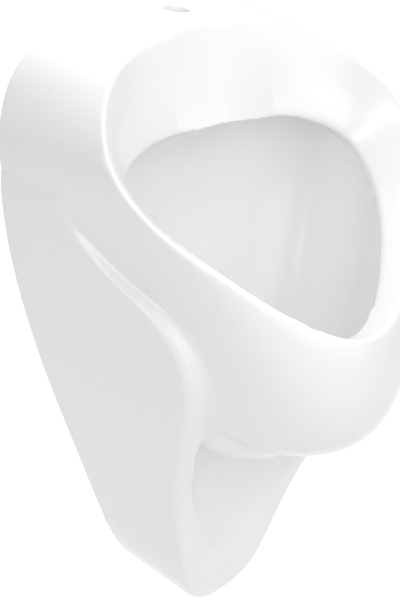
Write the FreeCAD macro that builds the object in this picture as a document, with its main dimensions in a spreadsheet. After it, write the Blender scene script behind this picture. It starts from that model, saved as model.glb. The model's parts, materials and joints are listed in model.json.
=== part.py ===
import FreeCAD, Part
import math
import os

import Sketcher
from FreeCAD import Matrix, Placement, Rotation, Vector

# A wall hung urinal of glazed vitreous china, with its flush spreader, lift-out strainer, concealed bottle trap
# and hanger brackets. Millimetres. +X is the urinal's left as one faces the wall, +Y goes into the wall, +Z is up.
# Levels are heights above the lowest tip of the china. The origin is the centre of the four bracket screws on the
# face of the wall, so every sub-part is placed HANGER_LEVEL lower than its level says.

doc = FreeCAD.newDocument("wall_hung_urinal")
sheet = doc.addObject("Spreadsheet::Sheet", "Sizes")

SIZES = (
    # the china's outer form
    ("china_height", 552),
    ("china_half_width", 156),
    ("china_depth", 310),
    ("china_wall", 13),
    ("ridge_rounding", 16),
    ("rim_land", 3),
    # levels above the lowest tip
    ("outlet_level", 211),
    ("waste_level", 200),
    # the bracket screws below the china's top, and the shelf over them
    ("hanger_drop", 110),
    ("shelf_rise", 24),
    # flush inlet
    ("inlet_radius", 11.5),
    ("inlet_depth", 55),
    ("inlet_setback", 40),
    ("channel_radius", 9),
    ("spreader_setback", 86),
    ("spreader_flange_radius", 15),
    ("spreader_flange_thick", 3),
    ("spreader_nozzle_radius", 11),
    ("spreader_nozzle_drop", 7),
    ("spreader_wall", 2),
    ("spreader_stem_height", 15),
    ("gasket_thick", 2.4),
    ("ring_section", 1.6),
    # sump, strainer and outlet
    ("sump_setback", 172),
    ("sump_radius", 24),
    ("sump_depth", 24),
    ("ledge_rise", 1),
    ("strainer_radius", 29.5),
    ("strainer_thick", 2.5),
    ("strainer_rise", 5),
    ("strainer_slot_width", 2.6),
    ("knob_radius", 4.5),
    ("throat_radius", 11),
    ("socket_radius", 21),
    ("socket_mouth", 108),
    ("socket_length", 26),
    # trap
    ("pipe_radius", 16),
    ("pipe_wall", 2),
    ("port_wall", 3.2),
    ("trap_setback", 46),
    ("trap_radius", 27),
    ("trap_wall", 3),
    ("trap_top", 238),
    ("trap_rim", 140),
    ("cup_wall", 3.2),
    ("cup_overlap", 16),
    ("cup_bottom", 109),
    ("baffle_thick", 2),
    ("baffle_foot", 134),
    ("front_port_reach", 17),
    ("back_port_reach", 12),
    ("nut_wall", 4.5),
    ("nut_lip", 2.2),
    ("front_nut_length", 20),
    ("back_nut_length", 13),
    ("washer_thick", 2.6),
    ("seal_rib", 1.2),
    ("outlet_reach", 45),
    ("outlet_bead", 2),
    # hanger brackets
    ("bracket_spacing", 150),
    ("bracket_width", 30),
    ("bracket_thick", 3),
    ("bracket_reach", 18),
    ("bracket_hook", 13),
    ("screw_pitch", 20),
    ("screw_hole_radius", 3.3),
    ("pad_thick", 1.4),
    ("shelf_thick", 18),
    ("hook_slot_depth", 13.5),
    # clearances
    ("seat_gap", 0.3),
    ("thread_gap", 0.3),
)


class Size:
    """A length in millimetres that keeps the sheet formula it is worked out by."""

    def __init__(self, value, formula):
        self.value = float(value)
        self.formula = formula

    def joined(self, other, sign, value):
        other_formula = other.formula if isinstance(other, Size) else repr(float(other))
        return Size(value, "(%s %s %s)" % (self.formula, sign, other_formula))

    def __add__(self, other):
        return self.joined(other, "+", self.value + float(other))

    def __sub__(self, other):
        return self.joined(other, "-", self.value - float(other))

    def __mul__(self, other):
        return self.joined(other, "*", self.value * float(other))

    def __truediv__(self, other):
        return self.joined(other, "/", self.value / float(other))

    def __neg__(self):
        return Size(-self.value, "(0 - %s)" % self.formula)

    def __float__(self):
        return self.value


def sheet_sizes():
    """Fill the sheet, one aliased row per size, and give the sizes by name."""
    sizes = {}
    for row, (alias, value) in enumerate(SIZES, start=1):
        sheet.set("A%d" % row, alias)
        sheet.set("B%d" % row, repr(value))
        sheet.setAlias("B%d" % row, alias)
        sizes[alias] = Size(value, "Sizes." + alias)
    return sizes


S = sheet_sizes()
doc.recompute()
ZERO = Size(0, "0")
SUB_PARTS = []

# The china's curves are drawn at these sizes and stretched to the sheet's.
DRAWN_HALF_WIDTH = 156.0
DRAWN_HEIGHT = 552.0
DRAWN_DEPTH = 310.0
DRAWN_CEILING = 470.0
# Levels that go with the china's height: the bowl's ceiling over the spreader, the screws and the shelf.
CEILING_LEVEL = S["china_height"] * (DRAWN_CEILING / DRAWN_HEIGHT)
HANGER_LEVEL = S["china_height"] - S["hanger_drop"]
SHELF_LEVEL = HANGER_LEVEL + S["shelf_rise"]


def bind(thing, prop, size):
    """Set a property and tie it to the sheet."""
    thing.setExpression(prop, size.formula)


def keep(thing, label):
    """Name a finished sub-part."""
    thing.Label = label
    SUB_PARTS.append(thing)
    return thing


def place(thing, across, out, level, turn=None):
    """Put a sub-part at its distance across, out from the wall (towards -Y) and above the lowest tip."""
    if turn is not None:
        thing.Placement = Placement(Vector(), turn)
    bind(thing, "Placement.Base.x", across)
    bind(thing, "Placement.Base.y", -out)
    bind(thing, "Placement.Base.z", level - HANGER_LEVEL)
    return thing


# --- helpers for sketched bodies ---------------------------------------------------------------------------------


def origin_plane(body, role):
    return next(item for item in body.Origin.OriginFeatures if item.Role == role)


def outline_sketch(body, name, role, corners):
    """A closed outline of straight lines on one of the body's planes; every corner is tied to the sheet."""
    sketch = body.newObject("Sketcher::SketchObject", name)
    sketch.AttachmentSupport = [(origin_plane(body, role), "")]
    sketch.MapMode = "FlatFace"
    points = [Vector(float(x), float(y), 0) for x, y in corners]
    for start, end in zip(points, points[1:] + points[:1]):
        sketch.addGeometry(Part.LineSegment(start, end))
    count = len(corners)
    for index in range(count):
        sketch.addConstraint(Sketcher.Constraint("Coincident", index, 2, (index + 1) % count, 1))
    for index, corner in enumerate(corners):
        for kind, axis, size in (("DistanceX", -2, corner[0]), ("DistanceY", -1, corner[1])):
            if size is ZERO:
                sketch.addConstraint(Sketcher.Constraint("PointOnObject", index, 1, axis))
            else:
                number = sketch.addConstraint(Sketcher.Constraint(kind, -1, 1, index, 1, size.value))
                sketch.setExpression("Constraints[%d]" % number, size.formula)
    return sketch


def circle_sketch(body, name, role, x, y, radius):
    """One circle on one of the body's planes."""
    sketch = body.newObject("Sketcher::SketchObject", name)
    sketch.AttachmentSupport = [(origin_plane(body, role), "")]
    sketch.MapMode = "FlatFace"
    sketch.addGeometry(Part.Circle(Vector(float(x), float(y), 0), Vector(0, 0, 1), float(radius)))
    for kind, axis, size in (("DistanceX", -2, x), ("DistanceY", -1, y)):
        if size is ZERO:
            sketch.addConstraint(Sketcher.Constraint("PointOnObject", 0, 3, axis))
        else:
            number = sketch.addConstraint(Sketcher.Constraint(kind, -1, 1, 0, 3, size.value))
            sketch.setExpression("Constraints[%d]" % number, size.formula)
    number = sketch.addConstraint(Sketcher.Constraint("Radius", 0, radius.value))
    sketch.setExpression("Constraints[%d]" % number, radius.formula)
    return sketch


def new_body(name):
    return doc.addObject("PartDesign::Body", name)


def turned(name, corners):
    """A body turned about its own Z axis from an outline of (radius, height) corners."""
    body = new_body(name)
    sketch = outline_sketch(body, name + "_outline", "XZ_Plane", corners)
    turn = body.newObject("PartDesign::Revolution", name + "_turn")
    turn.Profile = sketch
    turn.ReferenceAxis = (sketch, ["V_Axis"])
    turn.Angle = 360
    doc.recompute()
    return body


def cut_sketch(body, name, sketch, length, both_ways=False, backwards=False):
    """Pocket a sketch out of the body, and make sure that it really cuts."""
    before = body.Shape.Volume
    pocket = body.newObject("PartDesign::Pocket", name)
    pocket.Profile = sketch
    pocket.Midplane = both_ways
    pocket.Reversed = backwards
    bind(pocket, "Length", length)
    doc.recompute()
    if not body.Shape.Volume < before:
        raise ValueError("%s cuts nothing" % name)
    return pocket


def around(body, name, feature, count):
    """Repeat a feature around the body's Z axis."""
    pattern = body.newObject("PartDesign::PolarPattern", name)
    pattern.Originals = [feature]
    axis = next(item for item in body.Origin.OriginFeatures if item.Role == "Z_Axis")
    pattern.Axis = (axis, [""])
    pattern.Angle = 360
    pattern.Occurrences = count
    body.Tip = pattern
    doc.recompute()
    return pattern


# --- helpers for solids with sculpted forms ------------------------------------------------------------------------


def drawn(x, y, z):
    """A point of the drawn form, at the sheet's size."""
    return Vector(
        x * float(S["china_half_width"]) / DRAWN_HALF_WIDTH,
        y * float(S["china_depth"]) / DRAWN_DEPTH,
        z * float(S["china_height"]) / DRAWN_HEIGHT,
    )


def both_sides(half):
    """Points round a closed outline, from half of it that runs down the +X side from the middle to the middle."""
    return half + [Vector(-p.x, p.y, p.z) for p in half[-2:0:-1]]


def span_marks(half):
    """Curve parameters at the points of a closed outline."""
    points = both_sides(half)
    marks = [0.0]
    for before, after in zip(points, points[1:] + points[:1]):
        marks.append(marks[-1] + (after - before).Length ** 0.7)
    return marks


def smooth_rings(halves):
    """Closed smooth curves through mirrored half outlines. They share their spans, so that lofts stay light."""
    marks = span_marks(halves[0])
    rings = []
    for half in halves:
        curve = Part.BSplineCurve()
        curve.interpolate(Points=both_sides(half), PeriodicFlag=True, Parameters=marks)
        rings.append(Part.Wire([curve.toShape()]))
    return rings


def straight(points):
    return [Part.LineSegment(a, b).toShape() for a, b in zip(points, points[1:])]


def feature(name, shape):
    item = doc.addObject("Part::Feature", name)
    item.Shape = shape
    return item


def slab(edges, width):
    """A closed side outline, drawn in the plane X = -width / 2 and stretched across."""
    wire = Part.Wire(Part.__sortEdges__(edges))
    return Part.Face(wire).extrude(Vector(width, 0, 0))


def ellipsoid(centre, radius, half_height):
    """A ball stretched or flattened along the upright through its centre."""
    stretch = Matrix()
    stretch.scale(radius, radius, half_height)
    stretch.move(centre)
    return Part.makeSphere(1).transformGeometry(stretch)


def boolean(kind, name, base, *tools):
    """A Part cut, fuse or common of document objects."""
    if kind == "Part::Cut":
        item = doc.addObject(kind, name)
        item.Base, item.Tool = base, tools[0]
    else:
        item = doc.addObject(kind, name)
        item.Shapes = [base, *tools]
    item.Refine = False
    return item


def cylinder(name, radius, length, across, out, level, towards="up"):
    """A cylinder from a point (levels above the tip) going up, down, or along Y into or out from the wall."""
    item = doc.addObject("Part::Cylinder", name)
    bind(item, "Radius", radius)
    bind(item, "Height", length)
    turns = {"up": 0.0, "wallwards": -90.0, "outwards": 90.0}
    item.Placement = Placement(Vector(), Rotation(Vector(1, 0, 0), turns[towards]))
    bind(item, "Placement.Base.x", across)
    bind(item, "Placement.Base.y", -out)
    bind(item, "Placement.Base.z", level)
    return item


def block(name, width, depth, height, across, out, level):
    """A box centred across, with its wall side at `out` and its bottom at `level`."""
    item = doc.addObject("Part::Box", name)
    bind(item, "Length", width)
    bind(item, "Width", depth)
    bind(item, "Height", height)
    bind(item, "Placement.Base.x", across - width / 2)
    bind(item, "Placement.Base.y", -(out + depth))
    bind(item, "Placement.Base.z", level)
    return item


# --- the china ------------------------------------------------------------------------------------------------------

# Half of the outline where the china meets the wall, from the lowest tip up to the crown: (across, level).
WALL_OUTLINE = (
    (0, 5), (24, 20), (43, 42), (60, 78), (88, 152), (111, 214), (134, 286), (149, 350),
    (156, 418), (153, 462), (145, 494), (130, 517), (102, 533), (52, 546), (0, 552),
)
# The same outline where the flanks have run 200 mm out from the wall.
FRONT_OUTLINE = (
    (0, -3), (15, 8), (26, 26), (38, 62), (62, 140), (84, 205), (106, 275), (124, 340),
    (146, 412), (150, 462), (142, 489), (126, 507), (95, 525), (50, 538), (0, 543),
)
FRONT_OUTLINE_OUT = 200.0
FLANK_RUN = 340.0
# The shield's front edge seen from the side: (out from the wall, level), an S from the tip up under the bowl.
SHIELD_EDGE = (
    (78, 0), (109, 45), (129, 110), (163, 185), (205, 258), (213, 288), (196, 330), (158, 355), (118, 384), (86, 428),
)
# Where the shield's sections stand, as places in the outlines' lists of points.
SHIELD_PLACES = (
    0.33, 0.66, 1, 1.5, 2, 2.5, 3, 3.5, 4, 4.5, 5, 5.5, 6, 6.35, 6.6, 6.8, 7, 7.2, 7.4, 7.7, 8.1, 8.6,
)
# Above this place the shield draws in, so that its top is buried in the ledge's shoulders.
SHIELD_TUCK_PLACE = 8.0
SHIELD_TUCK = 0.1
# The ridges' rounding by level, drawn for a rounding of RIDGE_DRAWN at its widest.
RIDGE_DRAWN = 16
RIDGE = ((0, 6), (60, 9), (150, 10), (222, 12), (288, 14), (345, 16), (430, 13))
# The rim lies in one sloping plane: its top on the ledge and its lip at the front.
RIM_TOP = (88, 544)
RIM_LIP = (310, 329)
# Guides of the upper body, each from the wall to the rim: (across, level) on the wall, two handles
# (across, out, level) that swell the bowl, and (across, share of the way from rim top to lip) on the rim.
GUIDES = (
    ((0, 553), None, None, (0, 0.0)),
    ((54, 546), None, None, (54, 0.023)),
    ((104, 532), None, None, (97, 0.074)),
    ((138, 507), None, None, (128, 0.171)),
    ((153.8, 465), None, None, (148, 0.297)),
    ((154.5, 424), None, None, (153, 0.416)),
    ((137, 367), (138, 70, 375), (136, 150, 395), (140, 0.571)),
    ((106, 304), (107, 90, 290), (103, 225, 300), (105, 0.726)),
    ((66, 249), (70, 105, 225), (62, 312, 178), (55, 0.906)),
    ((0, 240), (0, 120, 215), (0, 335, 140), (0, 1.0)),
)
GUIDE_STATIONS = (0.0, 0.25, 0.5, 0.75, 1.0)
BOWL_STATIONS = (0.0, 0.12, 0.3, 0.5, 0.7, 0.88, 1.0)
# Guides of the inside: (across, out, level) where the dish ends and the bowl begins, matched to the rim's guides,
# and two handles that shape the bowl on its way down to the ring of the strainer's well.
BOWL_GUIDES = (
    ((0, 119, 470), (0, 42, 485), (0, 42, 300)),
    ((40, 117, 467), (46, 42, 482), (44, 44, 300)),
    ((75, 114, 459), (92, 44, 474), (80, 52, 300)),
    ((102, 118, 446), (130, 70, 452), (104, 76, 300)),
    ((115, 134, 432), (140, 118, 420), (108, 112, 292)),
    ((114, 160, 417), (134, 156, 380), (100, 146, 270)),
    ((103, 188, 400), (113, 190, 360), (88, 176, 250)),
    ((82, 220, 378), (87, 226, 335), (70, 206, 238)),
    ((47, 257, 344), (49, 268, 305), (42, 244, 222)),
    ((0, 281, 323), (0, 297, 285), (0, 262, 214)),
)
# The ring where the bowl ends: how far it stands outside the sump and above the strainer's ledge.
WELL_OUTSIDE = 2
WELL_ABOVE = 2
# The front of the hollow behind the bowl: (out, level) from the bottom up.
HOLLOW_FRONT = (
    (30, 20), (62, 34), (86, 60), (97, 100), (101, 150), (104, 180), (108, 196), (108, 232), (100, 248), (86, 266),
    (70, 304), (58, 346), (52, 400), (52, 470), (60, 484), (72, 500), (68, 528), (40, 537),
)


def outline_curves():
    """The wall outline and its partner in front, as curves read by the place of a point in the lists."""
    halves = [[Vector(x, 0, z) for x, z in outline] for outline in (WALL_OUTLINE, FRONT_OUTLINE)]
    marks = span_marks(halves[0])
    readers = []
    for half in halves:
        curve = Part.BSplineCurve()
        curve.interpolate(Points=both_sides(half), PeriodicFlag=True, Parameters=marks)
        readers.append(lambda place, curve=curve: curve.value(
            marks[int(place)] + (place - int(place)) * (marks[int(place) + 1] - marks[int(place)])
        ))
    return readers


def flank_outline(outline_at_wall, outline_in_front, out):
    """The outline of the flanks at a distance out from the wall."""
    share = out / FRONT_OUTLINE_OUT
    return [
        drawn(x0 + share * (x1 - x0), -out, z0 + share * (z1 - z0))
        for (x0, z0), (x1, z1) in zip(outline_at_wall, outline_in_front)
    ]


def inset(points, wall):
    """Half an outline moved inwards by a wall, in its own plane."""
    moved = []
    mirrored = [Vector(-points[1].x, points[1].y, points[1].z)] + points
    mirrored.append(Vector(-points[-2].x, points[-2].y, points[-2].z))
    for before, point, after in zip(mirrored, points, mirrored[2:]):
        along = after - before
        along.normalize()
        moved.append(point + Vector(-along.z, 0, along.x) * wall)
    return moved


def flanks(wall):
    """The tapering prism of the outline, with its wall taken off; none for the outside."""
    near = flank_outline(WALL_OUTLINE, FRONT_OUTLINE, 0.0)
    far = flank_outline(WALL_OUTLINE, FRONT_OUTLINE, FLANK_RUN)
    if wall:
        near, far = inset(near, wall), inset(far, wall)
    return Part.makeLoft(smooth_rings([near, far]), True, False)


def edge_out(level):
    """How far out the shield's front edge stands at a level."""
    curve = Part.BSplineCurve()
    curve.interpolate(Points=[Vector(0, out, height) for out, height in SHIELD_EDGE])
    low, high = curve.FirstParameter, curve.LastParameter
    for _ in range(40):
        middle = (low + high) / 2
        if curve.value(middle).z < level:
            low = middle
        else:
            high = middle
    return curve.value(low).y


def ridge_radius(level):
    """The ridge's rounding at a level, between the radii that RIDGE names."""
    for (low, small), (high, large) in zip(RIDGE, RIDGE[1:]):
        if level <= high:
            share = max(0.0, (level - low) / (high - low))
            return (small + share * (large - small)) * float(S["ridge_rounding"]) / RIDGE_DRAWN
    return RIDGE[-1][1] * float(S["ridge_rounding"]) / RIDGE_DRAWN


def shield_section(wall, front):
    """One section of the shield: straight flanks, rounded ridges and a straight front, from a point on the
    wall outline and its partner in front."""
    slope = (front - wall) * (1 / FRONT_OUTLINE_OUT)
    out = 100.0
    for _ in range(30):
        out = (out + edge_out(wall.z + slope.z * out)) / 2
    corner = wall + slope * out
    flank = (corner - wall).normalize()
    across = Vector(-1, 0, 0)
    half_angle = (-flank).getAngle(across) / 2
    radius = min(ridge_radius(corner.z), corner.x * 0.55)
    reach = radius / math.tan(half_angle)
    start, end = corner - flank * reach, corner + across * reach
    centre = corner + ((-flank) + across).normalize() * (radius / math.sin(half_angle))
    crown = centre + (corner - centre).normalize() * radius
    back = wall - slope * 6
    right = [drawn(p.x, p.y, p.z) for p in (back, start, crown, end)]
    left = [Vector(-p.x, p.y, p.z) for p in right]
    return Part.Wire([
        Part.LineSegment(right[0], right[1]).toShape(),
        Part.Arc(right[1], right[2], right[3]).toShape(),
        Part.LineSegment(right[3], left[3]).toShape(),
        Part.Arc(left[3], left[2], left[1]).toShape(),
        Part.LineSegment(left[1], left[0]).toShape(),
        Part.LineSegment(left[0], right[0]).toShape(),
    ])


def shield():
    """The shield that hangs on the wall: sections from the tip up under the hood, whose front follows an S."""
    sections = []
    near, far = outline_curves()
    for place in SHIELD_PLACES:
        wall, front = near(place), far(place)
        width = 1 - SHIELD_TUCK * max(0.0, place - SHIELD_TUCK_PLACE)
        start = Vector(wall.x * width, 0, wall.z)
        sections.append(shield_section(start, Vector(front.x * width, -FRONT_OUTLINE_OUT, front.z)))
    body = Part.makeLoft(sections, True, False)
    return body.common(Part.makeBox(1000, 1000, 1000, Vector(-500, -1000, -100)))


def recess():
    """The scoop below the bowl."""
    ball = ellipsoid(drawn(0, -185, 170), 70, 400)
    low, high = drawn(0, 0, 55).z, drawn(0, 0, 245).z
    return ball.common(Part.makeBox(400, 400, high - low, Vector(-200, -400, low)))


def rim_point(across, share):
    out = RIM_TOP[0] + share * (RIM_LIP[0] - RIM_TOP[0])
    level = RIM_TOP[1] + share * (RIM_LIP[1] - RIM_TOP[1])
    return drawn(across, -out, level)


def bezier(start, one, two, end, station):
    """A point of a curve with two handles."""
    rest = 1 - station
    return start * rest**3 + one * (3 * station * rest**2) + two * (3 * station**2 * rest) + end * station**3


def guide_points(station):
    """The guides' points at a share of the way from the wall to the rim."""
    points = []
    for (wall_x, wall_z), first, second, (rim_x, rim_share) in GUIDES:
        start = drawn(wall_x, 0, wall_z)
        end = rim_point(rim_x, rim_share)
        one = drawn(first[0], -first[1], first[2]) if first else start + (end - start) * (1 / 3)
        two = drawn(second[0], -second[1], second[2]) if second else start + (end - start) * (2 / 3)
        points.append(bezier(start, one, two, end, station))
    return points


def upper_body():
    """The ledge, shoulders and bowl in one smooth skin from the wall to the rim."""
    return Part.makeLoft(smooth_rings([guide_points(station) for station in GUIDE_STATIONS]), True, False)


def strainer_ledge():
    """The level of the ledge that the strainer rests on, a little above the throat."""
    return S["outlet_level"] + S["throat_radius"] + S["ledge_rise"]


def outlet_bulge():
    """The smaller bulge under and behind the bowl that holds the outlet."""
    level = float(S["outlet_level"])
    return ellipsoid(Vector(0, drawn(0, -153, 0).y, level + 25), 76, 57)


def bowl_points(station):
    """The bowl's guides' points at a share of the way from the dish to the well."""
    points = []
    radius = float(S["sump_radius"]) + WELL_OUTSIDE
    middle = Vector(0, -float(S["sump_setback"]), float(strainer_ledge()) + WELL_ABOVE)
    for index, (start, one, two) in enumerate(BOWL_GUIDES):
        turn = math.pi * index / (len(BOWL_GUIDES) - 1)
        end = middle + Vector(math.sin(turn), math.cos(turn), 0) * radius
        first, handle, second = (drawn(x, -out, level) for x, out, level in (start, one, two))
        points.append(bezier(first, handle, second, end, station))
    return points


def inside():
    """All that the mouth opens: the dish from just inside the rim, the bowl under the hood, and the air above."""
    rim = guide_points(1.0)
    middle = rim_point(0, 0.484)
    land = float(S["rim_land"])
    edge = []
    for point in rim:
        inwards = middle - point
        inwards.normalize()
        edge.append(point + inwards * land)
    out_of_rim = Vector(1, 0, 0).cross(rim[-1] - rim[0])
    out_of_rim.normalize()
    if out_of_rim.z < 0:
        out_of_rim = out_of_rim * -1
    stations = [bowl_points(station) for station in BOWL_STATIONS]
    rings = smooth_rings([[p + out_of_rim * 6 for p in edge], edge] + stations)
    dish = Part.makeLoft(rings[1:3], False, True)
    bowl = Part.makeLoft(rings[2:], False, False)
    shell = Part.makeShell(dish.Faces + bowl.Faces + [Part.Face(rings[1]), Part.Face(rings[-1])])
    shell.sewShape()
    solid = Part.makeSolid(shell)
    if solid.Volume < 0:
        solid.reverse()
    lid = Part.makeLoft(rings[:2], True, True)
    return solid, lid


def rear_hollow():
    """The hollow behind the bowl, open at the wall."""
    front = [drawn(0, -out, level) for out, level in HOLLOW_FRONT]
    open_side = 5.0
    frame = front + [
        Vector(0, open_side, front[-1].z), Vector(0, open_side, front[0].z), front[0],
    ]
    wide = 2 * DRAWN_HALF_WIDTH
    side = slab(straight(frame), 2 * wide)
    side.translate(Vector(-wide, 0, 0))
    return side.common(flanks(float(S["china_wall"])))


def ceramic_body():
    skin = feature("china_upper_body", upper_body())
    bulge = feature("china_outlet_bulge", outlet_bulge())
    wings = boolean("Part::Cut", "china_wings", feature("china_shield", shield()), feature("china_recess", recess()))
    outside = boolean("Part::MultiFuse", "china_outside", wings, skin, bulge)
    bowl_space, lid = inside()
    hollowed = boolean("Part::Cut", "china_hollowed", outside, feature("china_bowl_space", bowl_space))
    bowl = boolean("Part::Cut", "china_bowl", hollowed, feature("china_mouth", lid))

    hollow = feature("china_rear_hollow", rear_hollow())
    shelf = block(
        "china_shelf", S["china_half_width"] * 2, S["spreader_setback"], S["shelf_thick"], ZERO, ZERO, SHELF_LEVEL
    )
    boss_width = S["inlet_radius"] * 2 + S["china_wall"] * 2
    boss = block(
        "china_channel_boss", boss_width, S["spreader_setback"] + S["channel_radius"],
        S["china_height"] - SHELF_LEVEL, ZERO, ZERO, SHELF_LEVEL,
    )
    ribs = boolean("Part::MultiFuse", "china_ribs", shelf, boss)
    hollow_round_ribs = boolean("Part::Cut", "china_hollow_round_ribs", hollow, ribs)

    hook_slots = [
        block(
            "china_hook_slot_" + side, S["bracket_width"] + 6, S["bracket_thick"] + 7, S["hook_slot_depth"] + 1,
            across, S["bracket_reach"] - 3.5, SHELF_LEVEL - 1,
        )
        for side, across in (("left", S["bracket_spacing"] / 2), ("right", -(S["bracket_spacing"] / 2)))
    ]

    channel_level = S["china_height"] - S["inlet_depth"]
    inlet = cylinder(
        "china_inlet", S["inlet_radius"], S["inlet_depth"] + 20, ZERO, S["inlet_setback"], channel_level
    )
    channel = cylinder(
        "china_channel", S["channel_radius"], S["spreader_setback"] - S["inlet_setback"],
        ZERO, S["inlet_setback"], channel_level + S["channel_radius"] / 2, "outwards",
    )
    seat_level = CEILING_LEVEL + 1
    pocket = Size(32, "32")
    drop = cylinder(
        "china_drop", S["channel_radius"], channel_level - CEILING_LEVEL + S["channel_radius"] + 5,
        ZERO, S["spreader_setback"], CEILING_LEVEL - 5,
    )
    spreader_seat = cylinder(
        "china_spreader_seat", S["spreader_flange_radius"] + 2, pocket,
        ZERO, S["spreader_setback"], seat_level - pocket,
    )

    ledge_level = strainer_ledge()
    strainer_seat = cylinder(
        "china_strainer_seat", S["strainer_radius"] + S["seat_gap"], Size(16, "16"),
        ZERO, S["sump_setback"], ledge_level,
    )
    floor_level = ledge_level - S["sump_depth"]
    sump = turned(
        "china_sump",
        [
            (ZERO, ZERO), (S["sump_radius"] * 0.6, ZERO), (S["sump_radius"], S["sump_depth"] * 0.4),
            (S["sump_radius"], S["sump_depth"] + 5), (ZERO, S["sump_depth"] + 5),
        ],
    )
    bind(sump, "Placement.Base.y", -S["sump_setback"])
    bind(sump, "Placement.Base.z", floor_level)
    throat = cylinder(
        "china_throat", S["throat_radius"], S["sump_setback"] - S["socket_mouth"],
        ZERO, S["sump_setback"], S["outlet_level"], "wallwards",
    )
    socket = cylinder(
        "china_socket", S["socket_radius"], S["socket_length"] + 20,
        ZERO, S["socket_mouth"] + S["socket_length"], S["outlet_level"], "wallwards",
    )
    backless = boolean("Part::Cut", "china_backless", bowl, hollow_round_ribs)
    water = boolean("Part::MultiFuse", "china_water_ways", inlet, channel, drop, spreader_seat)
    waste = boolean("Part::MultiFuse", "china_waste_ways", strainer_seat, sump, throat, socket)
    watered = boolean("Part::Cut", "china_watered", backless, water)
    drained = boolean("Part::Cut", "china_drained", watered, waste)
    slots = boolean("Part::MultiFuse", "china_hook_slots", *hook_slots)
    body = boolean("Part::Cut", "china", drained, slots)
    doc.recompute()
    return place(keep(body, "ceramic_body"), ZERO, ZERO, ZERO)


# --- flush spreader ---------------------------------------------------------------------------------------------------


def spreader():
    """A turned nozzle with a ring of spray holes, pushed into the drop under the hood."""
    stem = S["channel_radius"] - S["seat_gap"]
    bore = stem - S["spreader_wall"] - S["ring_section"]
    groove_root = stem - S["ring_section"]
    groove_low = S["spreader_stem_height"] * 0.5
    groove_high = groove_low + S["ring_section"] + S["seat_gap"] * 2
    body = turned(
        "spreader",
        [
            (bore, S["spreader_stem_height"]), (stem, S["spreader_stem_height"]), (stem, groove_high),
            (groove_root, groove_high), (groove_root, groove_low), (stem, groove_low), (stem, ZERO),
            (S["spreader_flange_radius"], ZERO), (S["spreader_flange_radius"], -S["spreader_flange_thick"]),
            (S["spreader_nozzle_radius"], -S["spreader_flange_thick"]),
            (S["spreader_nozzle_radius"] * 0.8, -(S["spreader_flange_thick"] + S["spreader_nozzle_drop"])),
            (ZERO, -(S["spreader_flange_thick"] + S["spreader_nozzle_drop"])),
            (ZERO, -(S["spreader_flange_thick"] + S["spreader_nozzle_drop"] - S["spreader_wall"])),
            (bore, -(S["spreader_flange_thick"] + S["spreader_nozzle_drop"] - S["spreader_wall"])),
        ],
    )
    hole = circle_sketch(
        body, "spray_hole_outline", "XZ_Plane", ZERO,
        -(S["spreader_flange_thick"] + S["spreader_nozzle_drop"] / 2), S["spreader_wall"] * 0.7,
    )
    holes = cut_sketch(body, "spray_hole", hole, S["spreader_nozzle_radius"] * 3, both_ways=True)
    around(body, "spray_holes", holes, 5)
    seat = CEILING_LEVEL + 1 - S["seat_gap"] * 2 - S["gasket_thick"]
    place(keep(body, "spreader_body"), ZERO, S["spreader_setback"], seat)

    gasket = turned(
        "gasket",
        [
            (S["channel_radius"], ZERO), (S["spreader_flange_radius"], ZERO),
            (S["spreader_flange_radius"], S["gasket_thick"]), (S["channel_radius"], S["gasket_thick"]),
        ],
    )
    place(keep(gasket, "spreader_gasket"), ZERO, S["spreader_setback"], seat + S["seat_gap"])

    ring = turned(
        "stem_ring",
        [
            (groove_root + 0.1, ZERO), (stem + 0.2, ZERO), (stem + 0.2, S["ring_section"]),
            (groove_root + 0.1, S["ring_section"]),
        ],
    )
    place(keep(ring, "spreader_ring"), ZERO, S["spreader_setback"], seat + groove_low + S["seat_gap"])


# --- strainer ---------------------------------------------------------------------------------------------------------

STRAINER_SLOTS = 12


def strainer():
    """A domed disc with a knob to lift it by and a ring of slots."""
    radius = S["strainer_radius"]
    thick = S["strainer_thick"]
    rise = S["strainer_rise"]
    knob = S["knob_radius"]
    body = turned(
        "strainer",
        [
            (ZERO, rise), (radius * 0.4, rise * 0.8), (radius * 0.86, ZERO),
            (radius, ZERO), (radius, thick), (radius * 0.86, thick),
            (radius * 0.4, rise * 0.8 + thick), (knob, rise + thick), (knob * 0.6, rise + thick + 3),
            (knob * 1.2, rise + thick + 5), (knob, rise + thick + 7), (ZERO, rise + thick + 7.5),
        ],
    )
    half_slot = S["strainer_slot_width"] / 2
    slot = outline_sketch(
        body, "slot_outline", "XY_Plane",
        [
            (radius * 0.34, -half_slot), (radius * 0.8, -half_slot), (radius * 0.8, half_slot), (radius * 0.34, half_slot),
        ],
    )
    cut = cut_sketch(body, "slot", slot, rise * 4, both_ways=True)
    around(body, "slots", cut, STRAINER_SLOTS)
    seat = strainer_ledge() + S["seat_gap"]
    place(keep(body, "strainer"), ZERO, S["sump_setback"], seat)


# --- outlet and trap ----------------------------------------------------------------------------------------------------

WALLWARDS = Rotation(Vector(1, 0, 0), -90)


def outlet_seal():
    """The rubber lip seal between the china's socket and the inlet tube, with ribs."""
    outer = S["socket_radius"] - S["seat_gap"]
    inner = S["pipe_radius"] + S["seat_gap"]
    length = S["socket_length"] - S["seat_gap"] * 2
    root = outer - S["seal_rib"]
    corners = [(inner, ZERO), (outer, ZERO), (outer, length * 0.16)]
    for share in (0.4, 0.84):
        corners += [(root, length * (share - 0.1)), (root, length * (share - 0.04)), (outer, length * share)]
    corners += [(root, length), (inner, length)]
    body = turned("outlet_seal_ring", corners)
    place(
        keep(body, "outlet_seal"), ZERO, S["socket_mouth"] + S["socket_length"] - S["seat_gap"], S["outlet_level"],
        WALLWARDS,
    )


def front_port_mouth():
    return S["trap_setback"] + S["trap_radius"] + S["front_port_reach"]


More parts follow.
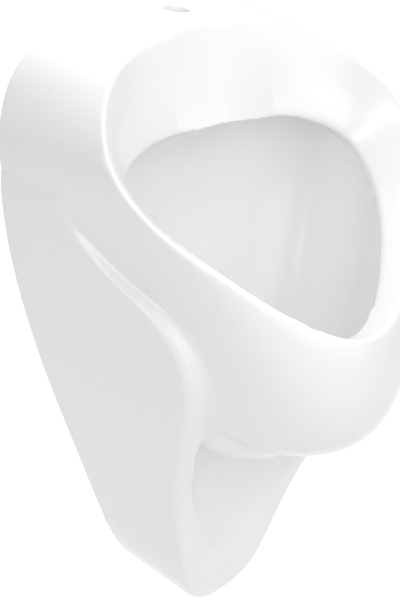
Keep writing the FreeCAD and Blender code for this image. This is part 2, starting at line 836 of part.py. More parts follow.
def inlet_tube():
    """The tube from the china's socket into the trap."""
    inner = S["pipe_radius"] - S["pipe_wall"]
    start = S["socket_mouth"] + S["socket_length"] - S["seat_gap"] * 2
    length = start - front_port_mouth() + S["front_port_reach"] * 0.6
    body = turned(
        "inlet_tube_pipe", [(inner, ZERO), (S["pipe_radius"], ZERO), (S["pipe_radius"], length), (inner, length)]
    )
    place(keep(body, "trap_inlet_tube"), ZERO, start, S["outlet_level"], WALLWARDS)


def port_radius():
    return S["pipe_radius"] + S["seat_gap"] + S["port_wall"]


def tapered_washer(name, label, out, level, turn):
    """A rubber washer that the nut presses between the tube and the port; its thin end points along the turn."""
    inner = S["pipe_radius"] + S["seat_gap"]
    outer = port_radius()
    body = turned(
        name,
        [(inner, ZERO), (outer, ZERO), (outer, S["washer_thick"] * 0.6), (inner + 1, S["washer_thick"]), (inner, S["washer_thick"])],
    )
    place(keep(body, label), ZERO, out, level, turn)


NUT_GRIPS = 8


def union_nut(name, label, length, out, level, turn):
    """A round nut with grips; it covers the port's thread and its lip presses the washer."""
    bore = S["pipe_radius"] + S["seat_gap"]
    thread = port_radius() + S["thread_gap"]
    outer = thread + S["nut_wall"]
    body = turned(
        name,
        [
            (bore, ZERO), (outer - 1, ZERO), (outer, Size(1, "1")), (outer, length), (thread, length),
            (thread, S["nut_lip"]), (bore, S["nut_lip"]),
        ],
    )
    grip = circle_sketch(body, name + "_grip_outline", "XY_Plane", outer + 2, ZERO, Size(3.4, "3.4"))
    cut = cut_sketch(body, name + "_grip", grip, length * 4, both_ways=True)
    around(body, name + "_grips", cut, NUT_GRIPS)
    place(keep(body, label), ZERO, out, level, turn)


def back_port_mouth():
    return S["trap_setback"] - S["trap_radius"] - S["back_port_reach"]


def trap_head():
    """The bottle trap's head: a domed shell with a threaded port in front and one behind."""
    radius, wall = S["trap_radius"], S["trap_wall"]
    height = S["trap_top"] - S["trap_rim"]
    shell = turned(
        "trap_head_shell",
        [
            (ZERO, ZERO), (radius, ZERO), (radius, height - 8), (radius * 0.8, height - 2), (ZERO, height),
        ],
    )
    bind(shell, "Placement.Base.y", -S["trap_setback"])
    bind(shell, "Placement.Base.z", S["trap_rim"])
    front = cylinder(
        "trap_front_port", port_radius(), S["trap_radius"] + S["front_port_reach"],
        ZERO, S["trap_setback"], S["outlet_level"], "outwards",
    )
    back = cylinder(
        "trap_back_port", port_radius(), S["trap_radius"] + S["back_port_reach"],
        ZERO, S["trap_setback"], S["waste_level"], "wallwards",
    )
    outside = boolean("Part::MultiFuse", "trap_head_outside", shell, front, back)
    inside = turned(
        "trap_head_inside",
        [
            (ZERO, ZERO), (radius - wall, ZERO), (radius - wall, height - 8 - wall),
            (radius * 0.8 - wall, height - 2 - wall), (ZERO, height - wall),
        ],
    )
    bind(inside, "Placement.Base.y", -S["trap_setback"])
    bind(inside, "Placement.Base.z", S["trap_rim"])
    bore = S["pipe_radius"] + S["seat_gap"]
    front_bore = cylinder(
        "trap_front_bore", bore, S["trap_radius"] + S["front_port_reach"] + 1,
        ZERO, S["trap_setback"], S["outlet_level"], "outwards",
    )
    back_bore = cylinder(
        "trap_back_bore", bore, S["trap_radius"] + S["back_port_reach"] + 1,
        ZERO, S["trap_setback"], S["waste_level"], "wallwards",
    )
    ways = boolean("Part::MultiFuse", "trap_head_ways", inside, front_bore, back_bore)
    head = boolean("Part::Cut", "trap_head_cut", outside, ways)
    place(keep(head, "trap_head"), ZERO, ZERO, ZERO)


def trap_baffle():
    """The plate between the trap's front and back chambers; the water seal stands over its foot."""
    width = (S["trap_radius"] - S["trap_wall"] - S["seat_gap"] - 0.2) * 2
    height = S["trap_top"] - S["trap_wall"] - 10 - S["baffle_foot"]
    body = new_body("baffle_plate")
    half = width / 2
    sketch = outline_sketch(
        body, "baffle_outline", "XZ_Plane",
        [
            (-(half * 0.7), ZERO), (half * 0.7, ZERO), (half, Size(8, "8")), (half, height), (-half, height),
            (-half, Size(8, "8")),
        ],
    )
    pad = body.newObject("PartDesign::Pad", "baffle_pad")
    pad.Profile = sketch
    pad.Midplane = True
    bind(pad, "Length", S["baffle_thick"])
    doc.recompute()
    place(keep(body, "trap_baffle"), ZERO, S["trap_setback"], S["baffle_foot"])


CUP_GRIPS = 12


def trap_cup():
    """The cup that unscrews from the trap's head for cleaning, and its seal."""
    thread = S["trap_radius"] + S["thread_gap"]
    outer = thread + S["cup_wall"]
    ledge = S["trap_rim"] - S["cup_bottom"] - S["gasket_thick"] - S["seat_gap"] * 2
    inner = S["trap_radius"] - S["trap_wall"] - 1
    top = S["trap_rim"] - S["cup_bottom"] + S["cup_overlap"]
    body = turned(
        "cup",
        [
            (ZERO, ZERO), (outer * 0.6, ZERO), (outer * 0.86, S["cup_wall"] * 0.7), (outer, S["cup_wall"] * 3),
            (outer, top), (thread, top), (thread, ledge), (inner, ledge), (inner, S["cup_wall"] * 3.2),
            (inner * 0.6, S["cup_wall"]), (ZERO, S["cup_wall"]),
        ],
    )
    grip = circle_sketch(body, "cup_grip_outline", "XY_Plane", outer + 1.6, ZERO, Size(2.8, "2.8"))
    cut = cut_sketch(body, "cup_grip", grip, top * 4, both_ways=True)
    around(body, "cup_grips", cut, CUP_GRIPS)
    place(keep(body, "trap_cup"), ZERO, S["trap_setback"], S["cup_bottom"])

    seal = turned(
        "cup_seal",
        [
            (inner + 0.4, ZERO), (S["trap_radius"], ZERO), (S["trap_radius"], S["gasket_thick"]),
            (inner + 0.4, S["gasket_thick"]),
        ],
    )
    place(keep(seal, "trap_cup_seal"), ZERO, S["trap_setback"], S["trap_rim"] - S["gasket_thick"] - S["seat_gap"])


def outlet_pipe():
    """The pipe from the trap through the wall."""
    inner = S["pipe_radius"] - S["pipe_wall"]
    start = back_port_mouth() + S["back_port_reach"] * 0.6
    length = start + S["outlet_reach"]
    outer = S["pipe_radius"]
    bead = S["outlet_bead"]
    body = turned(
        "outlet_pipe_tube",
        [
            (inner, ZERO), (outer, ZERO), (outer, start), (outer + bead, start + bead * 0.5),
            (outer + bead, start + bead * 1.5), (outer, start + bead * 2), (outer, length - 1.5), (outer - 1, length),
            (inner, length),
        ],
    )
    place(keep(body, "outlet_pipe"), ZERO, start, S["waste_level"], WALLWARDS)


def trap():
    outlet_seal()
    inlet_tube()
    gap = S["seat_gap"]
    front = front_port_mouth() + gap
    tapered_washer("front_washer", "trap_inlet_washer", front + S["washer_thick"], S["outlet_level"], WALLWARDS)
    union_nut(
        "front_nut", "trap_inlet_nut", S["front_nut_length"],
        front + S["washer_thick"] + gap + S["nut_lip"], S["outlet_level"], WALLWARDS,
    )
    trap_head()
    trap_baffle()
    trap_cup()
    outwards = Rotation(Vector(1, 0, 0), 90)
    back = back_port_mouth() - gap
    tapered_washer("back_washer", "trap_outlet_washer", back - S["washer_thick"], S["waste_level"], outwards)
    union_nut(
        "back_nut", "trap_outlet_nut", S["back_nut_length"],
        back - S["washer_thick"] - gap - S["nut_lip"], S["waste_level"], outwards,
    )
    outlet_pipe()


# --- hanger brackets ----------------------------------------------------------------------------------------------------


def hanger_bracket(side, across):
    """A plate for two screws, bent out and up into a hook that the china's shelf hangs on."""
    body = new_body("bracket_" + side)
    thick = S["bracket_thick"]
    low = -(S["screw_pitch"] / 2 + 10)
    step = S["shelf_rise"] - 4
    hook_top = S["shelf_rise"] + S["hook_slot_depth"] - S["pad_thick"] - S["seat_gap"] * 2
    reach = S["bracket_reach"]
    sketch = outline_sketch(
        body, "bracket_outline_" + side, "YZ_Plane",
        [
            (ZERO, low), (ZERO, step), (-reach, step), (-reach, hook_top), (-(reach + thick), hook_top),
            (-(reach + thick), step - thick), (-thick, step - thick), (-thick, low),
        ],
    )
    pad = body.newObject("PartDesign::Pad", "bracket_plate_" + side)
    pad.Profile = sketch
    pad.Midplane = True
    bind(pad, "Length", S["bracket_width"])
    doc.recompute()
    for name, height in (("upper", S["screw_pitch"] / 2), ("lower", -(S["screw_pitch"] / 2))):
        hole = circle_sketch(body, "%s_screw_%s" % (name, side), "XZ_Plane", ZERO, height, S["screw_hole_radius"])
        cut_sketch(body, "%s_screw_hole_%s" % (name, side), hole, (reach + thick) * 0.8, both_ways=True)
    place(keep(body, side + "_hanger_bracket"), across, ZERO, HANGER_LEVEL)


def bracket_pad(side, across):
    """The rubber saddle on a hook, under the top of the china's slot."""
    body = new_body("pad_" + side)
    gap, wall, thick = S["seat_gap"], S["pad_thick"], S["bracket_thick"]
    hook_top = SHELF_LEVEL + S["hook_slot_depth"] - S["pad_thick"] - gap * 2
    inner = thick / 2 + gap
    outer = inner + wall
    drop = -(S["bracket_hook"] * 0.6)
    sketch = outline_sketch(
        body, "pad_outline_" + side, "YZ_Plane",
        [
            (-outer, drop), (-inner, drop), (-inner, gap), (inner, gap), (inner, drop), (outer, drop),
            (outer, gap + wall), (-outer, gap + wall),
        ],
    )
    pad = body.newObject("PartDesign::Pad", "pad_saddle_" + side)
    pad.Profile = sketch
    pad.Midplane = True
    bind(pad, "Length", S["bracket_width"] - 2)
    doc.recompute()
    place(keep(body, side + "_bracket_pad"), across, S["bracket_reach"] + thick / 2, hook_top)


def hangers():
    for side, across in (("left", S["bracket_spacing"] / 2), ("right", -(S["bracket_spacing"] / 2))):
        hanger_bracket(side, across)
        bracket_pad(side, across)


# --- build and write -----------------------------------------------------------------------------------------------------


def write_parts():
    """Check every object and sub-part, then write each sub-part to its own file."""
    doc.recompute()
    failed = [item.Name for item in doc.Objects if "Invalid" in item.State or "Error" in item.State]
    if failed:
        raise ValueError("failed objects: %s" % ", ".join(failed))
    for item in SUB_PARTS:
        if item.Shape.isNull() or not item.Shape.isValid() or not item.Shape.Solids:
            raise ValueError("%s has no valid solid" % item.Label)
    os.makedirs("parts", exist_ok=True)
    for item in SUB_PARTS:
        item.Shape.exportStep(os.path.join("parts", item.Label + ".step"))
        print("%-22s %8.1f cm3  %d solid" % (item.Label, item.Shape.Volume / 1000, len(item.Shape.Solids)))


ceramic_body()
spreader()
strainer()
trap()
hangers()
write_parts()
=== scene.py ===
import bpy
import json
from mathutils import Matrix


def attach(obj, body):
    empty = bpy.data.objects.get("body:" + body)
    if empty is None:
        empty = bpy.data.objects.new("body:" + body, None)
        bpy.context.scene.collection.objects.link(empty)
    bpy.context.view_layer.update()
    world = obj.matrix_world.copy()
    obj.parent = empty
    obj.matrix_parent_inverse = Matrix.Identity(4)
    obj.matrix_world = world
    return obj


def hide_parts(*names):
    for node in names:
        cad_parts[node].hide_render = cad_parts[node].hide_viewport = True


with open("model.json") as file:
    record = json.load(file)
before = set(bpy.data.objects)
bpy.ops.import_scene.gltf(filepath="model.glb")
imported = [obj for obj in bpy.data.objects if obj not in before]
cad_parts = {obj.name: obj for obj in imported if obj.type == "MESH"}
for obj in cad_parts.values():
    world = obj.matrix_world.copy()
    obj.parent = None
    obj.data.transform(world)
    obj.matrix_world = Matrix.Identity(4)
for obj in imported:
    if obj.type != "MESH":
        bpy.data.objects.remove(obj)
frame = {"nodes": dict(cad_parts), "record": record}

"""Looks of a wall hung urinal: glazed china, a chrome spreader and strainer, a plastic trap and steel brackets."""

import json
import logging
import math
from dataclasses import dataclass, field
from enum import Enum

import bmesh
import bpy
import numpy
from mathutils import Vector

logging.basicConfig(level=logging.INFO, format="%(name)s: %(message)s")
LOG = logging.getLogger("urinal")
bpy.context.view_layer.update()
MM = 0.001


class Shading(Enum):
    """How a piece's faces are shaded."""

    SMOOTH = "smooth"
    BY_ANGLE = "by_angle"


def linear(hex_colour: str) -> tuple[float, float, float, float]:
    """Turn an sRGB hex colour to linear light.

    Args:
        hex_colour: Six hex digits, red first.

    Returns:
        Red, green, blue and an alpha of one.
    """
    parts = [int(hex_colour[i : i + 2], 16) / 255 for i in (0, 2, 4)]
    red, green, blue = [p / 12.92 if p <= 0.04045 else ((p + 0.055) / 1.055) ** 2.4 for p in parts]
    return red, green, blue, 1.0


def add_node(tree: bpy.types.NodeTree, kind: str, links: dict | None = None, **settings: object) -> bpy.types.Node:
    """Add a shader node with its settings and links.

    Args:
        tree: The node tree to add to.
        kind: The node's type name.
        links: Input socket names and the output sockets that feed them.
        settings: Attributes of the node, or values of its input sockets by name with spaces as underscores.

    Returns:
        The new node.
    """
    node = tree.nodes.new(kind)
    for name, value in settings.items():
        socket = node.inputs.get(name.replace("_", " "))
        if socket is not None:
            socket.default_value = value
        else:
            setattr(node, name, value)
    for name, output in (links or {}).items():
        tree.links.new(output, node.inputs[name])
    return node


@dataclass(frozen=True)
class Finish:
    """A surface finish.

    Attributes:
        name: The finish's plain name.
        colour: Its sRGB hex colour.
        roughness: Shader roughness.
        metallic: One for a metal, none otherwise.
        ior: Index of refraction.
        grain: Real size of the surface's texture in millimetres; none leaves it smooth.
        relief: Height of that texture in millimetres.
    """

    name: str
    colour: str
    roughness: float
    metallic: float = 0.0
    ior: float = 1.5
    grain: float = 0.0
    relief: float = 0.0

    def material(self) -> bpy.types.Material:
        """Make the finish's material, once.

        Returns:
            The material.
        """
        known = bpy.data.materials.get(self.name)
        if known is not None:
            return known
        material = bpy.data.materials.new(self.name)
        material.use_nodes = True
        tree = material.node_tree
        tree.nodes.clear()
        links = {}
        if self.grain:
            place = add_node(tree, "ShaderNodeTexCoord")
            noise = add_node(
                tree, "ShaderNodeTexNoise", {"Vector": place.outputs["Object"]}, Scale=1 / (self.grain * MM), Detail=3.0
            )
            bump = add_node(tree, "ShaderNodeBump", {"Height": noise.outputs["Fac"]}, Distance=self.relief * MM)
            links["Normal"] = bump.outputs["Normal"]
        shader = add_node(
            tree,
            "ShaderNodeBsdfPrincipled",
            links,
            Base_Color=linear(self.colour),
            Roughness=self.roughness,
            Metallic=self.metallic,
            IOR=self.ior,
        )
        add_node(tree, "ShaderNodeOutputMaterial", {"Surface": shader.outputs["BSDF"]})
        return material


# Vitreous china under a fired white glaze: bright and even, with soft reflections.
GLAZED_CHINA = Finish("glazed_china", "F6F6F5", 0.22, ior=1.52)
# Plated brass, polished: it mirrors the white bowl round it.
POLISHED_CHROME = Finish("polished_chrome", "D9DBDE", 0.09, metallic=1.0)
# Injection-moulded polypropylene: slightly waxy white with a fine eggshell surface.
MOULDED_POLYPROPYLENE = Finish("moulded_polypropylene", "E6E6E2", 0.42, ior=1.49, grain=0.6, relief=0.02)
# Moulded EPDM rubber: dark grey and dull.
MOULDED_RUBBER = Finish("moulded_rubber", "2B2B2D", 0.62, ior=1.52, grain=0.5, relief=0.03)
# Pressed steel sheet, bright zinc plated: pale grey with a soft blur.
ZINC_PLATED_STEEL = Finish("zinc_plated_steel", "B9BCC0", 0.34, metallic=1.0, grain=1.2, relief=0.01)
# Matt paper for the studio floor: pale and without shine.
WHITE_PAPER = Finish("white_paper", "D6D6D6", 0.9)


def dress(piece: bpy.types.Object, finish: Finish) -> bpy.types.Object:
    """Give a piece its finish.

    Args:
        piece: The mesh object.
        finish: Its finish.

    Returns:
        The piece.
    """
    piece.data.materials.clear()
    piece.data.materials.append(finish.material())
    return piece


def merged_copy(node: str, name: str) -> bpy.types.Object:
    """Copy a CAD node's mesh with its doubles merged.

    Args:
        node: The CAD node.
        name: The new piece's name.

    Returns:
        The new mesh object, in the scene.
    """
    shell = bmesh.new()
    shell.from_mesh(frame["nodes"][node].data)
    bmesh.ops.remove_doubles(shell, verts=shell.verts, dist=0.002 * MM)
    mesh = bpy.data.meshes.new(name)
    shell.to_mesh(mesh)
    shell.free()
    piece = bpy.data.objects.new(name, mesh)
    bpy.context.scene.collection.objects.link(piece)
    return piece


def shade(piece: bpy.types.Object, how: Shading, angle: float = 35.0) -> None:
    """Shade a piece smooth, all over or up to an angle.

    Args:
        piece: The mesh object.
        how: The kind of shading.
        angle: Edges sharper than this many degrees stay sharp when shading by angle.
    """
    shell = bmesh.new()
    shell.from_mesh(piece.data)
    for face in shell.faces:
        face.smooth = True
    limit = math.radians(angle)
    for edge in shell.edges:
        sharp = how is Shading.BY_ANGLE and edge.is_manifold and edge.calc_face_angle(0.0) > limit
        edge.smooth = not sharp
    shell.to_mesh(piece.data)
    shell.free()


def settle(piece: bpy.types.Object) -> None:
    """Apply a piece's modifiers to its mesh."""
    graph = bpy.context.evaluated_depsgraph_get()
    mesh = bpy.data.meshes.new_from_object(piece.evaluated_get(graph))
    piece.modifiers.clear()
    old, piece.data = piece.data, mesh
    bpy.data.meshes.remove(old)
    mesh.name = piece.name


def swell(offset: float) -> float:
    """Give a smooth share: one at no offset, none from an offset of one on.

    Args:
        offset: The offset, with either sign.

    Returns:
        The share.
    """
    return max(0.0, 1.0 - offset * offset)


@dataclass(frozen=True)
class Zone:
    """A box round some part of the china, alike on both sides of the middle, in metres.

    Attributes:
        half_width: How far it reaches to each side of the middle.
        depths: Its lowest and highest Y.
        levels: Its lowest and highest Z.
    """

    half_width: float
    depths: tuple[float, float]
    levels: tuple[float, float]

    def holds(self, place: Vector) -> bool:
        """Tell whether a place lies in the zone.

        Args:
            place: The place in metres.

        Returns:
            Whether it does.
        """
        low, high = self.depths
        bottom, top = self.levels
        return abs(place.x) < self.half_width and low < place.y < high and bottom < place.z < top


@dataclass(frozen=True)
class LipSweep:
    """Fairs the hood's lip, so that it runs in one sweep from side to side. Zones are in metres, the rest millimetres.

    Attributes:
        zone: The hood near its lip.
        edge: The part of it where the lip's own edge is looked for.
        hang: The way the lip hangs, square to the photograph's line of sight.
        station: The lip is read at stations this far apart.
        unit: Distance from the middle that counts as one in the sweep.
        degree: Degree of the sweep laid through the stations.
        height: The fairing reaches this far above the lip.
        half_width: It ends this far from the middle.
        run_out: It fades over this much before its end.
    """

    zone: Zone = Zone(0.094, (-0.15, -0.1), (-0.02, math.inf))
    edge: Zone = Zone(0.094, (-0.135, -0.108), (-0.02, 0.045))
    hang: tuple[float, float, float] = (0.0, -0.375, -0.927)
    station: float = 2.0
    unit: float = 90.0
    degree: int = 8
    height: float = 22.0
    half_width: float = 94.0
    run_out: float = 14.0

    def fair(self, piece: bpy.types.Object) -> None:
        """Take the small waves out of the lip.

        Args:
            piece: The skin.
        """
        down = Vector(self.hang)
        hood = [vert.co for vert in piece.data.vertices if self.zone.holds(vert.co)]
        lowest: dict[int, Vector] = {}
        for place in filter(self.edge.holds, hood):
            cell = round(place.x / MM / self.station)
            if cell not in lowest or place.dot(down) > lowest[cell].dot(down):
                lowest[cell] = place.copy()
        lip = numpy.array([(place.x / MM / self.unit, place.dot(down) / MM) for place in lowest.values()])
        sweep = numpy.polynomial.Polynomial.fit(lip[:, 0], lip[:, 1], self.degree)
        order = numpy.argsort(lip[:, 0])
        read = numpy.array([lip[order, 1][max(0, i - 1) : i + 2].mean() for i in range(len(order))])
        for place in hood:
            side = place.x / MM / self.unit
            found = float(numpy.interp(side, lip[order, 0], read))
            above = (found - place.dot(down) / MM) / self.height
            ending = min(1.0, max(0.0, (self.half_width - abs(place.x) / MM) / self.run_out))
            share = swell(above) ** 2 * ending
            place += down * (float(sweep(side)) - found) * share * MM


@dataclass(frozen=True)
class LipLine:
    """Brings the hood's lip to the photograph's line. The zone is in metres, the rest in millimetres.

    Attributes:
        zone: The hood round its lip.
        out: How far the lip stands out from the wall in the middle.
        corner: From this far beside the middle it stands out more.
        slant: By this much for each millimetre.
        level: The lip's level in the middle.
        arch: The lip falls off from this far beside the middle.
        fall: By this much for each square millimetre.
        inner: The change fades out over this much behind the lip.
        outer: It fades out over this much in front of it.
        height: It fades out over this much above and below it.
        drop: How far the lip is lowered at most.
        drop_side: That place's distance from the middle.
        drop_width: The lowering fades out over this much to each side.
        reach: How far the lip is brought out at most.
        reach_side: That place's distance from the middle.
        reach_width: The reach fades out over this much to each side.
    """

    zone: Zone = Zone(0.135, (-0.165, -0.098), (-0.03, 0.085))
    out: float = 119.0
    corner: float = 95.0
    slant: float = 0.3
    level: float = 28.0
    arch: float = 40.0
    fall: float = 0.0062
    inner: float = 18.0
    outer: float = 40.0
    height: float = 48.0
    drop: float = 6.0
    drop_side: float = 40.0
    drop_width: float = 85.0
    reach: float = 7.0
    reach_side: float = 98.0
    reach_width: float = 48.0

    def shape(self, piece: bpy.types.Object) -> None:
        """Lower the lip a little in the middle and bring it out a little beside it.

        Args:
            piece: The skin.
        """
        for place in [vert.co for vert in piece.data.vertices if self.zone.holds(vert.co)]:
            side = abs(place.x) / MM
            line = -self.out - self.slant * max(0.0, side - self.corner)
            level = self.level - max(0.0, side - self.arch) ** 2 * self.fall
            behind = (place.y / MM - line) / (self.inner if place.y / MM > line else self.outer)
            above = (place.z / MM - level) / self.height
            share = (swell(behind) * swell(above)) ** 2
            place.z -= share * MM * self.drop * swell((side - self.drop_side) / self.drop_width)
            place.y -= share * MM * self.reach * swell((side - self.reach_side) / self.reach_width)


@dataclass(frozen=True)
class BackWall:
    """Carries the bowl's back wall on under the spreader, past the spreader's round pocket. Lengths are in metres.

    Attributes:
        zone: The back wall round the pocket.
        setback: The pocket's axis stands this far off the wall that the urinal hangs on.
        radius: What lies nearer to that axis belongs to the pocket.
        beside: The plain back wall starts this far from the middle.
        beneath: It also lies below this level.
        top: The wall is carried on up to this level.
        ease: It fades into the pocket over this height.
        unit: Length that counts as one in the wall's terms.
    """

    zone: Zone = Zone(0.04, (-0.11, -0.055), (-0.03, 0.016))
    setback: float = 0.086
    radius: float = 0.0178
    beside: float = 0.021
    beneath: float = -0.008
    top: float = 0.0155
    ease: float = 0.003
    unit: float = 0.02

    def carry_on(self, piece: bpy.types.Object) -> None:
        """Lay one smooth surface through the plain wall and bring the pocket's lower part out to it.

        Args:
            piece: The skin.
        """
        places = [vert.co for vert in piece.data.vertices if self.zone.holds(vert.co)]
        plain = [tuple(place) for place in places if abs(place.x) > self.beside or place.z < self.beneath]
        wall = numpy.array(plain) / self.unit
        rows = numpy.stack([self.terms(across, level) for across, _, level in wall])
        weights = numpy.linalg.lstsq(rows, wall[:, 1], rcond=None)[0]
        for place in places:
            if math.hypot(place.x, place.y + self.setback) < self.radius:
                share = min(1.0, max(0.0, (self.top - place.z) / self.ease))
                smooth = float(self.terms(place.x / self.unit, place.z / self.unit) @ weights) * self.unit
                place.y += share * min(0.0, smooth - place.y)

    @staticmethod
    def terms(across: float, level: float) -> numpy.ndarray:
        """Give the terms of the smooth surface, which is alike on both sides of the middle.

        Args:
            across: Distance from the middle, in units.
            level: Height, in units.

        Returns:
            The terms' values.
        """
        square = across * across
        return numpy.array([1.0, level, level**2, level**3, square, square * level, square * level**2, square**2])


@dataclass
class China:
    """The glazed china in one piece.

    Attributes:
        cell: Size of the remeshed skin's cells in millimetres.
        rounds: How often the skin is relaxed, which rounds its edges as a fired glaze does.
        relax: How far each vertex goes towards its neighbours' middle in one round.
        sculpted: The part of the front whose valleys are blended, in metres.
        middle: The valleys are blended only this far from the middle, in metres.
        crease: Valleys sharper than this many degrees from cell to cell are blended.
        reach: Width of a blend to each side of its valley, in cells.
        blends: How often a valley is relaxed.
        triangles: The most triangles that the finished piece may have.
    """

    cell: float = 1.5
    rounds: int = 6
    relax: float = 0.5
    sculpted: Zone = Zone(math.inf, (-math.inf, -0.075), (-0.25, 0.03))
    middle: float = 0.04
    crease: float = 9.0
    reach: int = 8
    blends: int = 90
    triangles: int = 190_000

    def remeshed(self, guide: bpy.types.Object) -> bpy.types.Object:
        """Give the china an even skin, laid on the CAD surface and relaxed.

        Args:
            guide: A copy of the CAD surface.

        Returns:
            The skin.
        """
        piece = merged_copy("ceramic_body", "china")
        remesh = piece.modifiers.new("skin", "REMESH")
        remesh.mode = "VOXEL"
        remesh.voxel_size = self.cell * MM
        settle(piece)
        wrap = piece.modifiers.new("wrap", "SHRINKWRAP")
        wrap.target = guide
        wrap.wrap_method = "NEAREST_SURFACEPOINT"
        settle(piece)
        relax = piece.modifiers.new("relax", "SMOOTH")
        relax.factor, relax.iterations = self.relax, self.rounds
        settle(piece)
        return piece

    def blend_valleys(self, piece: bpy.types.Object) -> None:
        """Soften the valleys on the front, such as the one between the ridge and the bowl.

        Args:
            piece: The skin.
        """
        skin = bmesh.new()
        skin.from_mesh(piece.data)
        limit = -math.radians(self.crease)
        ring = {
            vert
            for edge in skin.edges
            if self.is_blended(edge.verts[0].co) and edge.calc_face_angle_signed(0.0) < limit
            for vert in edge.verts
        }
        seen = set(ring)
        group = piece.vertex_groups.new(name="valleys")
        for step in range(self.reach):
            group.add([vert.index for vert in ring], 1.0 - step / self.reach, "REPLACE")
            ring = {edge.other_vert(vert) for vert in ring for edge in vert.link_edges} - seen
            seen |= ring
        skin.free()
        blend = piece.modifiers.new("blend", "SMOOTH")
        blend.factor, blend.iterations, blend.vertex_group = self.relax, self.blends, group.name
        settle(piece)

    def is_blended(self, place: Vector) -> bool:
        """Tell whether a valley at a place belongs to the front's sculpted form.

        Args:
            place: The place in metres.

        Returns:
            Whether it is blended.
        """
        return abs(place.x) > self.middle and self.sculpted.holds(place)

    def build(self) -> list[bpy.types.Object]:
        """Build the china's skin: lay it on the CAD surface, shape it, thin it and dress it.

        Thinning would show in the reflections, so the thinned skin takes the fine one's normals.

        Returns:
            The china's piece.
        """
        guide = merged_copy("ceramic_body", "china_guide")
        piece = self.remeshed(guide)
        bpy.data.objects.remove(guide)
        self.blend_valleys(piece)
        LipSweep().fair(piece)
        LipLine().shape(piece)
        BackWall().carry_on(piece)
        shade(piece, Shading.SMOOTH)
        fine = bpy.data.objects.new("fine_china", piece.data.copy())
        bpy.context.scene.collection.objects.link(fine)
        thin = piece.modifiers.new("thin", "DECIMATE")
        thin.ratio = min(1.0, self.triangles / (2 * len(piece.data.polygons)))
        settle(piece)
        normals = piece.modifiers.new("normals", "DATA_TRANSFER")
        normals.object = fine
        normals.use_loop_data = True
        normals.data_types_loops = {"CUSTOM_NORMAL"}
        normals.loop_mapping = "POLYINTERP_NEAREST"
        settle(piece)
        bpy.data.objects.remove(fine)
        dress(piece, GLAZED_CHINA)
        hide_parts("ceramic_body")
        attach(piece, "urinal")
        return [piece]


@dataclass
class Fittings:
    """The pieces whose CAD form is dressed as it is.

    Attributes:
        finishes: Each node's finish, and a slot name that is not used.
    """

    finishes: dict[str, tuple[Finish, str]] = field(
        default_factory=lambda: {
            "spreader_body": (POLISHED_CHROME, "chrome"),
            "spreader_gasket": (MOULDED_RUBBER, "grey_rubber"),
            "spreader_ring": (MOULDED_RUBBER, "grey_rubber"),
            "strainer": (POLISHED_CHROME, "chrome"),
            "outlet_seal": (MOULDED_RUBBER, "grey_rubber"),
            "trap_inlet_tube": (MOULDED_POLYPROPYLENE, "white_plastic"),
            "trap_inlet_washer": (MOULDED_RUBBER, "grey_rubber"),
            "trap_inlet_nut": (MOULDED_POLYPROPYLENE, "white_plastic"),
            "trap_head": (MOULDED_POLYPROPYLENE, "white_plastic"),
            "trap_baffle": (MOULDED_POLYPROPYLENE, "white_plastic"),
            "trap_cup": (MOULDED_POLYPROPYLENE, "white_plastic"),
            "trap_cup_seal": (MOULDED_RUBBER, "grey_rubber"),
            "trap_outlet_washer": (MOULDED_RUBBER, "grey_rubber"),
            "trap_outlet_nut": (MOULDED_POLYPROPYLENE, "white_plastic"),
            "outlet_pipe": (MOULDED_POLYPROPYLENE, "white_plastic"),
            "left_hanger_bracket": (ZINC_PLATED_STEEL, "zinc_steel"),
            "right_hanger_bracket": (ZINC_PLATED_STEEL, "zinc_steel"),
            "left_bracket_pad": (MOULDED_RUBBER, "grey_rubber"),
            "right_bracket_pad": (MOULDED_RUBBER, "grey_rubber"),
        }
    )

    def build(self) -> list[bpy.types.Object]:
        """Dress each node with its finish.

        Returns:
            The nodes' own pieces.
        """
        pieces = []
        bodies = frame["record"]["behaviour"]["bodies"]
        for node, (finish, slot) in self.finishes.items():
            piece = merged_copy(node, node + "_piece")
            shade(piece, Shading.BY_ANGLE)
            dress(piece, finish)
            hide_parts(node)
            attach(piece, next(name for name, nodes in bodies.items() if node in nodes))
            pieces.append(piece)
        return pieces


@dataclass(frozen=True)
class Softbox:
    """A soft rectangular light.

    Attributes:
        name: The light's name.
        place: Its place in metres.
        aim: The point it faces, in metres.
        size: Its width and height in metres.
        power: Its power in watts.
    """

    name: str
    place: tuple[float, float, float]
    aim: tuple[float, float, float]
    size: tuple[float, float]
    power: float

    def hang(self) -> None:
        """Hang the light."""
        data = bpy.data.lights.new(self.name, "AREA")
        data.shape = "RECTANGLE"
        data.size, data.size_y = self.size
        data.energy = self.power
        light = bpy.data.objects.new(self.name, data)
        light.location = self.place
        light.rotation_euler = (Vector(self.aim) - Vector(self.place)).to_track_quat("-Z", "Y").to_euler()
        bpy.context.scene.collection.objects.link(light)


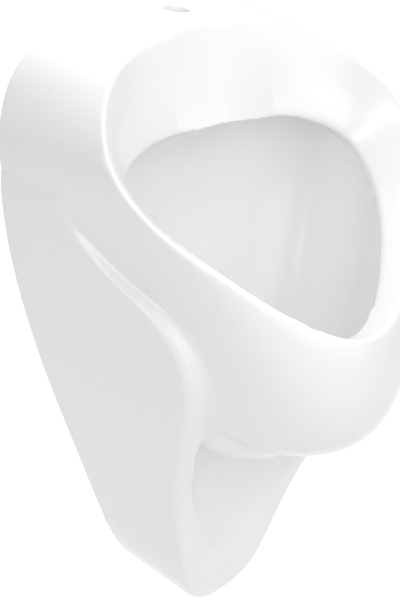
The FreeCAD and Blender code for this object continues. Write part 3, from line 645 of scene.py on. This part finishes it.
@dataclass
class Studio:
    """The floor, the lights and the camera.

    Attributes:
        azimuth: How far round from the object's front the camera stands, in degrees; a minus sign is to the left.
        pitch: How far above the horizon it stands, in degrees.
        place: The camera's place in metres.
        focal_length: Lens length in millimetres.
        sensor: Length of the camera's sensor along the picture's long side, in millimetres.
        floor_level: Height of the floor in metres.
        floor_size: Distance from the floor's middle to its sides in metres.
        surround: Strength of the white surround.
        softboxes: The lights.
    """

    azimuth: float = -35.0
    pitch: float = 20.0
    place: tuple[float, float, float] = (-1.04364, -1.56570, 0.51453)
    focal_length: float = 132.0
    sensor: float = 36.0
    floor_level: float = -1.05
    floor_size: float = 12.0
    surround: float = 0.48
    softboxes: tuple[Softbox, ...] = (
        Softbox("overhead_softbox", (0.0, -0.7, 2.1), (0.0, -0.15, 0.0), (1.6, 1.6), 12.0),
        Softbox("front_softbox", (-0.1, -2.5, 0.9), (0.0, -0.15, -0.1), (3.2, 2.4), 31.0),
        Softbox("left_softbox", (-2.4, -0.7, 0.9), (0.0, -0.13, -0.1), (0.6, 1.8), 12.0),
        Softbox("background_softbox", (1.9, 2.6, 1.6), (1.9, 2.6, -1.0), (4.0, 4.0), 210.0),
    )

    def camera(self) -> None:
        """Stand the camera where the photograph's stood."""
        data = bpy.data.cameras.new("camera")
        data.lens = self.focal_length
        data.sensor_width = self.sensor
        camera = bpy.data.objects.new("camera", data)
        bpy.context.scene.collection.objects.link(camera)
        turn, tilt = math.radians(self.azimuth), math.radians(self.pitch)
        back = Vector((math.sin(turn) * math.cos(tilt), -math.cos(turn) * math.cos(tilt), math.sin(tilt)))
        camera.location = self.place
        camera.rotation_euler = (-back).to_track_quat("-Z", "Y").to_euler()
        bpy.context.scene.camera = camera

    def floor(self) -> None:
        """Lay a plain white floor well under the object."""
        plane = bmesh.new()
        bmesh.ops.create_grid(plane, x_segments=1, y_segments=1, size=self.floor_size)
        bmesh.ops.translate(plane, verts=plane.verts, vec=(0, 0, self.floor_level))
        mesh = bpy.data.meshes.new("floor")
        plane.to_mesh(mesh)
        plane.free()
        floor = bpy.data.objects.new("floor", mesh)
        mesh.materials.append(WHITE_PAPER.material())
        bpy.context.scene.collection.objects.link(floor)

    def build(self) -> None:
        """Set the camera, floor, surround and lights."""
        self.camera()
        self.floor()
        world = bpy.data.worlds.new("white_surround")
        world.use_nodes = True
        tree = world.node_tree
        tree.nodes.clear()
        sky = add_node(tree, "ShaderNodeBackground", Color=(1.0, 1.0, 1.0, 1.0), Strength=self.surround)
        add_node(tree, "ShaderNodeOutputWorld", {"Surface": sky.outputs["Background"]})
        bpy.context.scene.world = world
        for softbox in self.softboxes:
            softbox.hang()
        bpy.context.scene.view_settings.view_transform = "Standard"


def main() -> None:
    """Build and report every sub-assembly."""
    for assembly in (China(), Fittings()):
        for piece in assembly.build():
            LOG.info("%s: %d faces", piece.name, len(piece.data.polygons))
    Studio().build()


if __name__ == "__main__":
    main()
